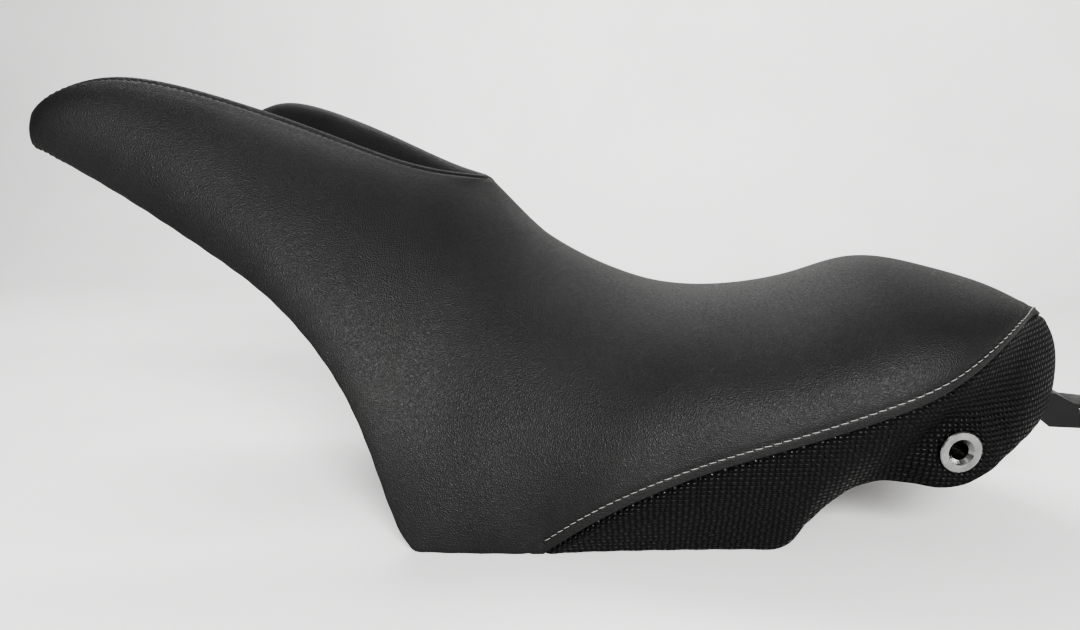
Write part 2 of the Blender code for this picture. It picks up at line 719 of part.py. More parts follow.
def make_bushes(pan, foam, panels, metal):
    """Turned bush through the side panel and the pan's boss, with a nut on its inner end."""
    for (name, side), panel in zip(SIDES, panels):
        feeler = Feeler(panel)
        frame = feeler.settle(axis_frame(*bush_frame(side)), BUSH_FLANGE_R)
        heights = feeler.heights(frame, BUSH_FLANGE_R)
        seat = max(heights) + GAP
        top = seat + BUSH_FLANGE_T
        boss_out = min(heights) - COVER_T - 2 * GAP
        boss_in = boss_out - BOSS_L
        nut_top = boss_in - GAP
        end = nut_top - NUT_T - SLEEVE_PROUD
        profile = ((BUSH_SINK_R, top), (BUSH_FLANGE_R - BUSH_EDGE, top),
                   (BUSH_FLANGE_R, top - BUSH_EDGE), (BUSH_FLANGE_R, seat), (BUSH_SLEEVE_R, seat),
                   (BUSH_SLEEVE_R, end), (BUSH_BORE_R, end), (BUSH_BORE_R, top - BUSH_SINK_DEPTH))
        bush = add_part("bush_" + name, turned_mesh("bush_" + name, profile), metal)
        turn(bush)
        nut = add_part("bush_nut_" + name,
                       cylinder_mesh("bush_nut_" + name, NUT_R, nut_top - NUT_T, nut_top, NUT_SIDES), metal)
        boss = add_cutter("boss_" + name, cylinder_mesh("boss_" + name, BOSS_R, boss_in, boss_out))
        hole = add_cutter("bush_hole_" + name,
                          cylinder_mesh("bush_hole_" + name, BUSH_SLEEVE_R + GAP, end, top))
        room = add_cutter("boss_room_" + name,
                          cylinder_mesh("boss_room_" + name, BOSS_R + GAP, end, top))
        for obj in (bush, nut, boss, hole, room):
            obj.matrix_world = frame
        boolean(pan, boss, "UNION")
        boolean(pan, hole, "DIFFERENCE")
        boolean(nut, hole, "DIFFERENCE")
        boolean(panel, hole, "DIFFERENCE")
        boolean(foam, room, "DIFFERENCE")


def make_buffers(pan, feeler, finish):
    """Rubber buffers, each seated on a moulded pad with its stem in a hole through the pan."""
    seat = -BUFFER_PAD_H - GAP
    stem = PAN_T - STEM_SHORT
    profile = ((0, stem), (BUFFER_STEM_R, stem), (BUFFER_STEM_R, seat), (BUFFER_R, seat),
               (BUFFER_R, seat - BUFFER_H / 2), (BUFFER_FOOT_R, seat - BUFFER_H), (0, seat - BUFFER_H))
    for place_name, x, y in BUFFER_PLACES:
        for name, side in SIDES:
            label = f"buffer_{place_name}_{name}"
            buffer = add_part(label, turned_mesh(label, profile), finish)
            turn(buffer, BUFFER_SIDES)
            pad = add_cutter("pad_" + label, cylinder_mesh("pad_" + label, BUFFER_R + BUFFER_PAD_RIM,
                                                           -BUFFER_PAD_H, GAP, BUFFER_SIDES))
            hole = add_cutter("hole_" + label, cylinder_mesh("hole_" + label, BUFFER_STEM_R + GAP,
                                                             2 * seat, 2 * PAN_T, BUFFER_SIDES))
            for obj in (buffer, pad, hole):
                obj.matrix_world = axis_frame(*feeler.under(x, y * side))
            boolean(pan, pad, "UNION")
            boolean(pan, hole, "DIFFERENCE")


def plate_mesh(name, outline, width):
    """Plate bent or moulded to a side outline of (x, z) points, as wide as given."""
    curve = bpy.data.curves.new(name, "CURVE")
    curve.dimensions = "2D"
    curve.fill_mode = "BOTH"
    curve.extrude = width / 2
    line = curve.splines.new("POLY")
    line.points.add(len(outline) - 1)
    for point, (x, z) in zip(line.points, outline):
        point.co = (x - ORIGIN_X, z, 0, 1)
    line.use_cyclic_u = True
    shape = bpy.data.objects.new(name, curve)
    CUTTERS.objects.link(shape)
    graph = bpy.context.evaluated_depsgraph_get()
    mesh = bpy.data.meshes.new_from_object(shape.evaluated_get(graph), depsgraph=graph)
    bpy.data.objects.remove(shape)
    bm = bmesh.new()
    bm.from_mesh(mesh)
    bpy.data.meshes.remove(mesh)
    bmesh.ops.remove_doubles(bm, verts=bm.verts, dist=WELD)
    bmesh.ops.rotate(bm, verts=bm.verts, matrix=Matrix.Rotation(math.pi / 2, 3, "X"))
    bmesh.ops.recalc_face_normals(bm, faces=bm.faces)
    return finished(name, bm)


def fasten(plate, pan, label, point, axis, thickness, finish):
    """Socket-head screw through a plate into the pan, with its head against the plate."""
    grip = thickness + GAP
    length = grip + PAN_T - STEM_SHORT
    low = -SCREW_HEAD_H - GAP
    profile = ((0, length), (SCREW_R, length), (SCREW_R, -GAP), (SCREW_HEAD_R, -GAP),
               (SCREW_HEAD_R, low), (SOCKET_R, low), (SOCKET_R, low + SOCKET_DEPTH),
               (0, low + SOCKET_DEPTH))
    frame = axis_frame(point, axis)
    screw = add_part(label, turned_mesh(label, profile), finish)
    turn(screw, SCREW_SIDES)
    screw.matrix_world = frame
    hole = add_cutter("hole_" + label, cylinder_mesh("hole_" + label, SCREW_R + GAP, low, grip + 2 * PAN_T,
                                                     SCREW_SIDES))
    hole.matrix_world = frame
    boolean(plate, hole, "DIFFERENCE")
    boolean(pan, hole, "DIFFERENCE")


def make_hook(pan, feeler, plastic, steel):
    """Hook behind the tail: base under the deck, arm under the rim, lip and block round a slot."""
    x = guide(EDGE, TAIL)[0]
    rim = [guide(EDGE, k) for k in np.linspace(TAIL - 1, TAIL, FINE)]
    arm = min(point[2] for point in rim if point[1] < HOOK_W / 2 + RIM_CLEAR) - RIM_CLEAR
    front = x - HOOK_BASE_BACK - HOOK_BASE_L
    base_run = np.linspace(front, front + HOOK_BASE_L, FEEL_POINTS)
    base = min(feeler.lowest(at, HOOK_W / 2) for at in base_run) - GAP
    lip = x + HOOK_REACH
    lip_top = arm - HOOK_DROP
    slot = lip - HOOK_LIP_L
    block = slot + HOOK_BLOCK_L
    outline = ((front, base), (front + HOOK_BASE_L, base), (x - HOOK_ARM_L, arm), (x + RIM_CLEAR, arm),
               (slot - HOOK_LIP_T, lip_top + HOOK_LIP_T / 2), (lip, lip_top),
               (lip, lip_top - HOOK_LIP_T), (slot, lip_top - HOOK_LIP_T / 2),
               (slot, lip_top - HOOK_LIP_T / 2 - HOOK_SLOT_H),
               (block, lip_top - HOOK_LIP_T - HOOK_SLOT_H),
               (block - HOOK_LIP_T, arm - HOOK_BLOCK_H), (x, arm - HOOK_BLOCK_H),
               (x - HOOK_ARM_L, arm - HOOK_BLOCK_H / 2), (front + HOOK_BASE_L, base - HOOK_BASE_T),
               (front, base - HOOK_BASE_T))
    hook = add_part("rear_hook", plate_mesh("rear_hook", outline, HOOK_W), plastic)
    for name, side in SIDES:
        point = Vector((front + HOOK_BASE_L / 2 - ORIGIN_X, HOOK_SCREW_Y * side, base - HOOK_BASE_T))
        fasten(hook, pan, "rear_hook_screw_" + name, point, Vector((0, 0, 1)), HOOK_BASE_T, steel)


def make_tongue(pan, feeler, steel):
    """Steel tongue at the front: screwed flat under the sloping deck and bent level to reach forward."""
    rear = TONGUE_X + TONGUE_BASE_L
    half = TONGUE_W / 2
    low_front = feeler.lowest(TONGUE_X, half)
    low_rear = feeler.lowest(rear, half)
    middle = TONGUE_X + TONGUE_BASE_L / 2
    straight = np.linspace(low_front, low_rear, FINE)
    felt = [feeler.lowest(x, half) for x in np.linspace(TONGUE_X, rear, FINE)]
    drop = 2 * GAP + max(straight - felt)
    slope = Vector((rear - TONGUE_X, 0, low_rear - low_front)).normalized()
    normal = Vector((-slope.z, 0, slope.x))
    a = (rear, low_rear - drop)
    b = (TONGUE_X, low_front - drop)
    tip = TONGUE_X - TONGUE_REACH
    thick = (normal.x * TONGUE_T, normal.z * TONGUE_T)
    outline = (a, b, (tip, b[1]), (tip, b[1] - TONGUE_T),
               (b[0] - thick[0] * TONGUE_BEND, b[1] - TONGUE_T), (a[0] - thick[0], a[1] - thick[1]))
    tongue = add_part("front_tongue", plate_mesh("front_tongue", outline, TONGUE_W), steel)
    for name, side in SIDES:
        x = middle - thick[0] - ORIGIN_X
        z = (a[1] + b[1]) / 2 - thick[1]
        point = Vector((x, TONGUE_SCREW_Y * side, z))
        fasten(tongue, pan, "front_tongue_screw_" + name, point, normal, TONGUE_T, steel)


def main():
    vinyl = material("grained_vinyl", (0.018, 0.018, 0.019), 0.62)
    weave = material("woven_vinyl", (0.012, 0.012, 0.013), 0.42)
    foam_finish = material("foam", (0.55, 0.47, 0.26), 0.95)
    plastic = material("pan_plastic", (0.022, 0.022, 0.023), 0.55)
    hook_plastic = material("hook_plastic", (0.015, 0.015, 0.016), 0.5)
    rubber = material("rubber", (0.02, 0.02, 0.02), 0.8)
    aluminium = material("aluminium", (0.78, 0.79, 0.8), 0.28, 1.0)
    zinc = material("zinc_steel", (0.55, 0.55, 0.54), 0.38, 1.0)
    loft = Loft()
    make_cover(loft, vinyl)
    panels = make_side_panels(loft, weave)
    foam = make_foam(loft, foam_finish)
    pan = make_pan(loft, plastic)
    feeler = Feeler(pan)
    make_bushes(pan, foam, panels, aluminium)
    make_buffers(pan, feeler, rubber)
    make_hook(pan, feeler, hook_plastic, zinc)
    make_tongue(pan, feeler, zinc)


for old in list(bpy.data.objects):
    bpy.data.objects.remove(old)
PARTS = collection("motorcycle_seat")
CUTTERS = collection("cutters")
main()
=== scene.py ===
import math

import bmesh
import bpy
import numpy as np
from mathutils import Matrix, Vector, noise
from mathutils.kdtree import KDTree


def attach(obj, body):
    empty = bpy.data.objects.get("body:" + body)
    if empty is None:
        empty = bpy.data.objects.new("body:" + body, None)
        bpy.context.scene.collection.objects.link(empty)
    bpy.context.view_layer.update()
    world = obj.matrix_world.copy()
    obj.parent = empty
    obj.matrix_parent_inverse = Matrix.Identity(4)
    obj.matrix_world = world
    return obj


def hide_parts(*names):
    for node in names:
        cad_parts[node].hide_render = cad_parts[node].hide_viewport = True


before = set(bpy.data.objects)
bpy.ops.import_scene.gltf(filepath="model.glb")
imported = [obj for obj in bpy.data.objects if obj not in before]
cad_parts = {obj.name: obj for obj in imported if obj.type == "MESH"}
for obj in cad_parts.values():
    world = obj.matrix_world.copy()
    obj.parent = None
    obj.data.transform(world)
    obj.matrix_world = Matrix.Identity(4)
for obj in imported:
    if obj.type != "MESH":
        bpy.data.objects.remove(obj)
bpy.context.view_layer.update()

# The look of the seat: smooth sewn covers taken from the same section lines as the CAD, with their
# seams, stitches, hems and staples, and the materials of every piece.  Lengths are in metres.
MM = 0.001

# Vertices closer than this to the centre plane lie on it
ON_CENTRE = 0.02 * MM

# Sewn seams
SEAM_LIFT = 0.7 * MM
FOLD_R = 0.9 * MM
FOLD_W = 6.4 * MM
TUCK = 1.5 * MM
STITCH_PITCH = 5.4 * MM
STITCH_L = 4.5 * MM
THREAD_R = 0.33 * MM
PRONG_PITCH = 4.4 * MM
PRONG_STITCH_L = 3.2 * MM
PRONG_STITCH_AT = 2.0 * MM

# Staples in the hem round the rim of the pan
STAPLE_PITCH = 19.0 * MM
STAPLE_W = 10.0 * MM
STAPLE_TILT = math.radians(9)

# Weave of the side panels
CELL = 3.35 * MM
WALL_STRETCH = 1.12

# Bushes in the sides of the tail, on the left
BUSH_AXIS = np.array((0.2793, -0.9549, -0.1006))
BUSH_SEAT = np.array((0.22845, -0.11423, 0.06993))
BUSH_R = 12.5 * MM
BUSH_HOLE = 7.2 * MM
BUSH_SWELLING = 19 * MM

# Edges of the CAD pieces sharper than this stay sharp, with a fine bevel
SHARP = math.radians(38)
BEVEL = 0.3 * MM

# Floor that runs up into a wall through a cove, by width, depth and height
FLOOR_X = 12.0
FLOOR_FRONT = -12.0
COVE_Y = 1.1
COVE_R = 0.6
COVE_CUTS = 14
WALL_TOP = 4.0

SIDES = (("left", -1), ("right", 1))

# Stations on the section lines
APEX = 7
SEAM_START = 10
TAIL = 19
REST_FIRST = 7.6
REST_LAST = 13
RAMP = 0.6
ORIGIN_X = 330.3 * MM
OVERRUN = 3
STEP = 0.01
CUTS = 120
APEX_SPREAD = 1.0

# Smoothing of the main panel round the apex of the notch and the start of the seam, in stations
APEX_REACH = 1.9
START_REACH = 1.0
SMOOTHING = (0.9, 0.6, 0.4)

# Rows: top line, upper handle, lower handle and bottom edge of one section, in millimetres from
# the nose, the centre plane and the floor.  These rows are the tank notch, from its middle forward.
NOTCH_ROWS = (
    ((256, 0, 223.4), (247, 0, 231), (240, 0, 204), (241, 0, 181)),
    ((243, 34, 225.5), (236, 27, 233), (228, 23, 206), (231, 25, 184)),
    ((212, 63, 233), (206, 53, 242), (203, 43, 216), (206, 46, 192)),
    ((165, 82, 251), (161, 70, 261), (160, 61, 232), (163, 64, 206)),
    ((112, 102, 270.5), (108, 89, 280), (108, 79, 250), (110, 82, 220)),
    ((52, 123.5, 284.6), (48, 110, 292), (48, 99, 264), (50, 102.5, 236)),
    ((14, 137, 276), (8, 123, 278), (5, 112, 264), (6, 114, 248)),
)
# The outer side, from the front edge of the prong to the middle of the tail.
SIDE_ROWS = (
    ((2, 138, 266), (-8, 134, 264), (-11, 130, 252), (-3, 128, 242)),
    ((14, 137, 276), (13, 150, 271), (5, 151, 251), (5, 143, 240)),
    ((52, 123.5, 284.6), (56, 145, 275.5), (53, 154, 243), (52, 143.5, 216)),
    ((112, 102, 270.5), (120, 128, 257), (117, 155, 213), (115, 145.5, 179)),
    ((165, 82, 251), (176, 110, 236), (170, 156, 186), (163, 148.5, 145)),
    ((212, 63, 233), (228, 97, 214), (216, 154, 147), (203, 150.5, 95)),
    ((243, 34, 225.5), (248, 92, 212), (243, 155, 112), (226, 151, 39)),
    ((256, 0, 223.4), (262, 92, 211), (262, 158, 98), (242, 151, 4)),
    ((266, 0, 212), (270, 96, 206), (281, 161, 96), (263, 149.5, 0)),
    ((290, 0, 185.5), (290, 104, 185.5), (304, 163, 96), (296, 144.5, 0)),
    ((330, 0, 160.5), (330, 112, 160.5), (330, 164, 99), (323, 138, 0)),
    ((372, 0, 149), (372, 118, 149), (368, 166, 102), (368, 126, 0)),
    ((420, 0, 148.3), (420, 116, 148.3), (420, 163, 110), (414, 115, 0)),
    ((468, 0, 157.5), (468, 108, 157.5), (468, 162, 118), (455, 107, 0)),
    ((509, 0, 170), (509, 105, 170), (512, 158, 132), (489, 105, 30)),
    ((552, 0, 165.5), (552, 95, 165.5), (551, 146, 143), (521, 106, 47)),
    ((588, 0, 155.5), (588, 70, 155.5), (586, 108, 150), (560, 111, 48)),
    ((606, 0, 148), (606, 45, 148), (603, 70, 147), (594, 92, 66)),
    ((616, 0, 142), (616, 22, 142), (616, 34, 143), (620, 52, 78)),
    ((621, 0, 139), (623, 0, 137.8), (625, 0, 136.3), (634, 0, 90)),
)
# The sewn seam between the main panel and the woven side panel, from its start at the bottom edge.
SEAM_ROWS = (
    (323, 138, 0), (366, 148.8, 32), (420, 149.6, 58.5), (468, 147.6, 75.8), (512.5, 143.8, 92.5),
    (551, 133, 109.7), (582.5, 103, 129.5), (600, 72, 138), (615, 38, 139), (626.5, 0, 135),
)
# Fullness of the tail below the seam, one value a station from the seam's start.
TAIL_FULLNESS = (0, 0, 0, 0, 2, 4, 6, 8, 9, 9)


class Line:
    """Natural cubic spline through points that lie one station apart."""

    def __init__(self, points, first=0):
        p = np.asarray(points, float)
        matrix = np.eye(len(p))
        bend = np.zeros_like(p)
        for i in range(1, len(p) - 1):
            matrix[i, i - 1:i + 2] = (1, 4, 1)
            bend[i] = 6 * (p[i - 1] - 2 * p[i] + p[i + 1])
        self.points = p
        self.bend = np.linalg.solve(matrix, bend)
        self.first = first

    def __call__(self, at):
        at = np.asarray(at, float) - self.first
        i = np.clip(at.astype(int), 0, len(self.points) - 2)
        s = (at - i)[..., None]
        r = 1 - s
        p, m = self.points, self.bend
        return r * p[i] + s * p[i + 1] + (r ** 3 - r) * m[i] / 6 + (s ** 3 - s) * m[i + 1] / 6


def past_centre(rows):
    """Carry a line on past the centre plane at its end, so that it crosses the plane squarely."""
    p = np.asarray(rows, float)
    return np.vstack((p, (p[-1 - OVERRUN:-1] * (1, -1, 1))[::-1]))


def round_line(column):
    rows = [row[column] for row in NOTCH_ROWS + SIDE_ROWS]
    return Line(past_centre(past_centre(rows)[::-1])[::-1] * MM, -APEX - OVERRUN)


PRONG_TOP = Line(past_centre([row[0] for row in SIDE_ROWS[:APEX + 1]]) * MM)
MIDDLE = Line(np.asarray([row[0] for row in SIDE_ROWS[APEX:]], float) * MM, APEX)
UPPER, LOWER, BOTTOM = (round_line(column) for column in (1, 2, 3))
SEAM = Line(past_centre(SEAM_ROWS) * MM, SEAM_START)
FULLNESS = Line(np.asarray(TAIL_FULLNESS, float)[:, None] * MM, SEAM_START)


def unit(v):
    return v / np.maximum(np.linalg.norm(v, axis=-1, keepdims=True), 1e-12)


def ease(t):
    t = np.clip(t, 0, 1)
    return t * t * (3 - 2 * t)


def hump(d, at, width):
    return np.exp(-((d - at) / width) ** 2)


def top(k):
    return np.where((k <= APEX)[:, None], PRONG_TOP(np.minimum(np.abs(k), APEX)),
                    MIDDLE(np.maximum(k, APEX)))


def edge(k):
    """Bottom edge, which lies flat on the floor between two stations."""
    point = BOTTOM(k)
    rising = np.clip(np.maximum(REST_FIRST - k, k - REST_LAST) / RAMP, 0, 1)
    point[:, 2] *= rising
    return point


def inward(k):
    along = BOTTOM(k + STEP) - BOTTOM(k - STEP)
    return unit(np.stack((along[:, 1], -along[:, 0], np.zeros(len(k))), axis=1))


def bezier(p0, p1, p2, p3):
    t = np.linspace(0, 1, CUTS + 1)[None, :, None]
    s = 1 - t
    a, b, c, d = (p[:, None] for p in (p0, p1, p2, p3))
    return s ** 3 * a + 3 * s * s * t * b + 3 * s * t * t * c + t ** 3 * d


def upper_runs(k):
    """Runs of points from the top line to the bottom edge, or to the seam behind its start.
    The corner of the top line at the apex of the notch is spread out further down the cover."""
    end = np.where((k <= SEAM_START)[:, None], edge(k), SEAM(np.maximum(k, SEAM_START)))
    runs = bezier(top(k), UPPER(k), LOWER(k), end)
    t = np.linspace(0, 1, CUTS + 1)
    spread = APEX_SPREAD * hump(k, APEX, APEX_SPREAD)[:, None] * ease(t / 0.3)
    shift = np.zeros_like(runs)
    for offset in np.linspace(-1, 1, 9):
        moved = np.where(k[:, None] < 0, k[:, None], np.maximum(k[:, None] + offset * spread, 0))
        shift += top(moved.ravel()).reshape(runs.shape) / 9
    return runs + (shift - top(k)[:, None]) * ((1 - t) ** 3)[None, :, None]


def lower_runs(k):
    """Runs of points from the seam to the bottom edge."""
    seam, low = SEAM(k), edge(k)
    third = (low - seam) / 3
    first = seam + unit(seam - LOWER(k)) * np.linalg.norm(third, axis=1, keepdims=True)
    return bezier(seam, first, low - third - inward(k) * FULLNESS(k), low)


def run_lengths(runs):
    steps = np.linalg.norm(np.diff(runs, axis=1), axis=2)
    return np.concatenate((np.zeros((len(runs), 1)), np.cumsum(steps, axis=1)), axis=1)


def along_runs(runs, lengths):
    """Points on each run at its own distances from its start."""
    reach = run_lengths(runs)
    return np.array([[np.interp(at, s, run[:, axis]) for axis in range(3)]
                     for run, s, at in zip(runs, reach, lengths)]).transpose(0, 2, 1)


# Distances of the fine rows of a panel beside a sewn edge
FINE_ROWS = np.array((0, 0.35, 0.7, 1.1, 1.6, 2.2, 3, 4, 4.9, 5.5, 5.9, 6.3, 6.7, 7.1, 7.6, 8.4, 9.6,
                      11.5, 14)) * MM
TOP_ROWS = np.array((0, 0.4, 0.8, 1.2, 1.6, 2, 2.4, 2.9, 3.6, 4.6, 6, 8.5)) * MM
BODY_ROWS = 46
WEAVE_ROWS = 34


def main_rows(total, stretch):
    """Distances from the top line, fine beside the line and beside the lower end."""
    low = total - (FINE_ROWS * stretch)[::-1]
    body = np.linspace(TOP_ROWS[-1], low[0], BODY_ROWS)[1:-1]
    return np.concatenate((TOP_ROWS, body, low))


def weave_rows(total):
    """Distances from the seam, fine beside it and drawn together where the panel is low."""
    reach = max(total, 40 * MM)
    rows = np.concatenate((FINE_ROWS, np.linspace(FINE_ROWS[-1], reach, WEAVE_ROWS)[1:]))
    return rows * total / reach


# Cross-section of the hem: distance inside the wall and height up it
HEM_ROUND = ((0.06, 1.7), (0.25, 1.05), (0.6, 0.5), (1.1, 0.15), (1.8, 0))
HEM_UNDER = ((3.4, 0), (5.1, 0), (5.8, 0.15), (6.3, 0.5), (6.65, 1.05), (6.84, 1.7), (6.9, 3),
             (6.9, 5.5), (6.9, 7.7), (6.6, 8), (5.7, 8))


def hems(k, runs, shape):
    """Points round the foot of the rim at each station."""
    reach = run_lengths(runs)
    low = runs[:, -1]
    back = np.maximum(reach[:, -1] - 14 * MM, reach[:, -1] / 2)[:, None]
    wall = unit(along_runs(runs, back)[:, 0] - low)
    wall[reach[:, -1] < MM] = (0, 0, 1)
    side = inward(k)
    along = BOTTOM(k + STEP) - BOTTOM(k - STEP)
    slant = np.abs(np.sum(side * unit(np.cross(along, wall)), axis=1))[:, None]
    size = np.minimum(1, reach[:, -1] / (8 * MM))[:, None]
    rows = [low + side / slant * inside * MM + wall * up * MM * size for inside, up in shape]
    return np.stack(rows, axis=1)


def sheet_mesh(name, grids):
    """Mesh of the left half of a sheet, joined from grids of points that share some of them."""
    verts, faces, index = [], [], {}
    for grid in grids:
        numbers = np.zeros(grid.shape[:2], int)
        for i in range(grid.shape[0]):
            for j in range(grid.shape[1]):
                p = grid[i, j]
                key = (round(p[0] * 1e6), round(p[1] * 1e6), round(p[2] * 1e6))
                if key not in index:
                    index[key] = len(verts)
                    verts.append((p[0] - ORIGIN_X, -p[1], p[2]))
                numbers[i, j] = index[key]
        a, b = numbers[:-1, :-1].ravel(), numbers[1:, :-1].ravel()
        c, d = numbers[1:, 1:].ravel(), numbers[:-1, 1:].ravel()
        for quad in zip(a, d, c, b):
            corners = list(dict.fromkeys(quad))
            if len(corners) > 2:
                faces.append(corners)
    mesh = bpy.data.meshes.new(name)
    mesh.from_pydata(verts, [], faces)
    mesh.validate()
    return mesh


def coords(mesh):
    co = np.zeros(len(mesh.vertices) * 3, np.float32)
    mesh.vertices.foreach_get("co", co)
    return co.reshape(-1, 3).astype(float)


def normals(mesh):
    n = np.zeros(len(mesh.vertices) * 3, np.float32)
    mesh.vertex_normals.foreach_get("vector", n)
    return n.reshape(-1, 3).astype(float)


def set_coords(mesh, co):
    """Move the vertices, none of them below the floor."""
    co[:, 2] = np.maximum(co[:, 2], 0)
    mesh.vertices.foreach_set("co", co.astype(np.float32).ravel())
    mesh.update()


class Track:
    """A line of points on the left side, for finding how far away and how far along a vertex is."""

    def __init__(self, points):
        self.points = points * (1, -1, 1) - (ORIGIN_X, 0, 0)
        steps = np.linalg.norm(np.diff(self.points, axis=0), axis=1)
        self.reach = np.concatenate(((0,), np.cumsum(steps)))
        self.tree = KDTree(len(points))
        for i, point in enumerate(self.points):
            self.tree.insert(point, i)
        self.tree.balance()

    def near(self, co):
        found = [self.tree.find(point)[1:] for point in co]
        number = np.array([i for i, _ in found])
        return np.array([d for _, d in found]), self.reach[number]


# The seam's line, led on a little past its start
seam_foot, seam_next = SEAM(np.array((SEAM_START, SEAM_START + 0.02)))
seam_lead = seam_foot - unit(seam_next - seam_foot) * np.linspace(12 * MM, 0, 40)[:-1, None]
SEAM_TRACK = Track(np.vstack((seam_lead, SEAM(np.linspace(SEAM_START, TAIL, 2400)))))
PRONG_TRACK = Track(top(np.linspace(0, APEX, 2000)))
EDGE_TRACK = Track(edge(np.linspace(-APEX, TAIL, 5000)))

SIDE_K = np.concatenate((np.linspace(0, APEX, 301), np.linspace(APEX, SEAM_START, 81)[1:]))
REAR_K = np.linspace(SEAM_START, TAIL, 361)
PRONG_K = SIDE_K[SIDE_K <= APEX]


def seam_slant(k):
    """How much longer a step down a section is than one square to the seam."""
    runs = upper_runs(k)
    down = unit(runs[:, -1] - runs[:, -4])
    tangent = unit(SEAM(k + STEP) - SEAM(k - STEP))
    return 1 / np.sqrt(np.clip(1 - np.sum(down * tangent, axis=1) ** 2, 0.4, 1))


def edge_pull(co):
    """The cover is drawn in a little at each staple."""
    d, s = EDGE_TRACK.near(co)
    return -0.28 * MM * np.exp(-d / (11 * MM)) * (0.5 + 0.5 * np.cos(math.tau * s / STAPLE_PITCH))


def nose_gather(co):
    """Gathers of the cover where it is drawn round the tip of the prong."""
    d, s = EDGE_TRACK.near(co)
    nose = EDGE_TRACK.reach[int(len(EDGE_TRACK.reach) * APEX / (APEX + TAIL))]
    near = np.exp(-((s - nose) / (26 * MM)) ** 2) * np.exp(-d / (7 * MM))
    return 0.75 * MM * near * np.cos(math.tau * s / (4.6 * MM))


def uneven(co, seed):
    """Slow unevenness of the foam under the cover."""
    shift = Vector((seed * 7.3, seed * 3.1, seed * 5.7))
    slow = np.array([noise.noise(Vector(p) * 13 + shift) for p in co])
    quick = np.array([noise.noise(Vector(p) * 34 - shift) for p in co])
    return (0.55 * slow + 0.16 * quick) * MM


def whole(mesh, name):
    """Both halves of a sheet as one mesh, welded at the centre plane."""
    co = coords(mesh)
    faces = [tuple(p.vertices) for p in mesh.polygons]
    middle = np.abs(co[:, 1]) < ON_CENTRE
    co[middle, 1] = 0
    other = np.where(middle, np.arange(len(co)), len(co) + np.cumsum(~middle) - 1)
    verts = np.vstack((co, co[~middle] * (1, -1, 1)))
    made = bpy.data.meshes.new(name)
    made.from_pydata(verts.tolist(), [], faces + [tuple(other[list(f)][::-1]) for f in faces])
    made.validate()
    return made


def add(name, mesh, finish):
    obj = bpy.data.objects.new(name, mesh)
    bpy.context.scene.collection.objects.link(obj)
    mesh.materials.append(finish)
    mesh.polygons.foreach_set("use_smooth", [True] * len(mesh.polygons))
    mesh.update()
    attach(obj, "root")
    return obj


class Finish:
    """A material with its nodes, added and linked one at a time."""

    def __init__(self, name, **values):
        self.material = bpy.data.materials.new(name)
        self.material.use_nodes = True
        self.tree = self.material.node_tree
        self.shader = self.tree.nodes["Principled BSDF"]
        for key, value in values.items():
            self.shader.inputs[key.replace("_", " ")].default_value = value
        self.place = self.tree.nodes.new("ShaderNodeTexCoord").outputs["Object"]

    def node(self, kind, inputs=(), output=0, **settings):
        made = self.tree.nodes.new("ShaderNode" + kind)
        for key, value in settings.items():
            setattr(made, key, value)
        for key, value in dict(inputs).items():
            if isinstance(value, bpy.types.NodeSocket):
                self.tree.links.new(value, made.inputs[key])
            else:
                made.inputs[key].default_value = value
        return made.outputs[output]

    def math(self, operation, a, b=0.0):
        return self.node("Math", {0: a, 1: b}, operation=operation)

    def noise(self, scale, detail=3.0, vector=None):
        return self.node("TexNoise", {"Vector": vector or self.place, "Scale": scale, "Detail": detail})

    def cells(self, scale, feature="F1"):
        return self.node("TexVoronoi", {"Vector": self.place, "Scale": scale}, feature=feature)

    def ramp(self, value, *stops):
        made = self.tree.nodes.new("ShaderNodeValToRGB")
        self.tree.links.new(value, made.inputs[0])
        points = made.color_ramp.elements
        while len(points) < len(stops):
            points.new(0.5)
        for point, (at, colour) in zip(points, stops):
            point.position = at
            point.color = (*colour, 1) if isinstance(colour, tuple) else (colour, colour, colour, 1)
        return made.outputs["Color"]

    def bump(self, height, strength, distance, below=None):
        inputs = {"Height": height, "Strength": strength, "Distance": distance}
        if below is not None:
            inputs["Normal"] = below
        return self.node("Bump", inputs)

    def give(self, **sockets):
        for key, value in sockets.items():
            self.tree.links.new(value, self.shader.inputs[key.replace("_", " ")])
        return self.material


def vinyl():
    """Matt black vinyl with a fine pebbled grain."""
    f = Finish("grained_vinyl", Specular_IOR_Level=0.35)
    tone = f.ramp(f.noise(14, 4), (0.3, (0.0120, 0.0120, 0.0125)), (0.7, (0.0175, 0.0172, 0.0168)))
    rough = f.ramp(f.noise(700, 2), (0.25, 0.44), (0.75, 0.66))
    waves = f.bump(f.noise(90, 2), 0.08, 0.25 * MM)
    grain = f.bump(f.cells(1500, "SMOOTH_F1"), 1.0, 0.45 * MM, waves)
    fine = f.bump(f.noise(2600, 2), 0.35, 0.10 * MM, grain)
    return f.give(Base_Color=tone, Roughness=rough, Normal=fine)


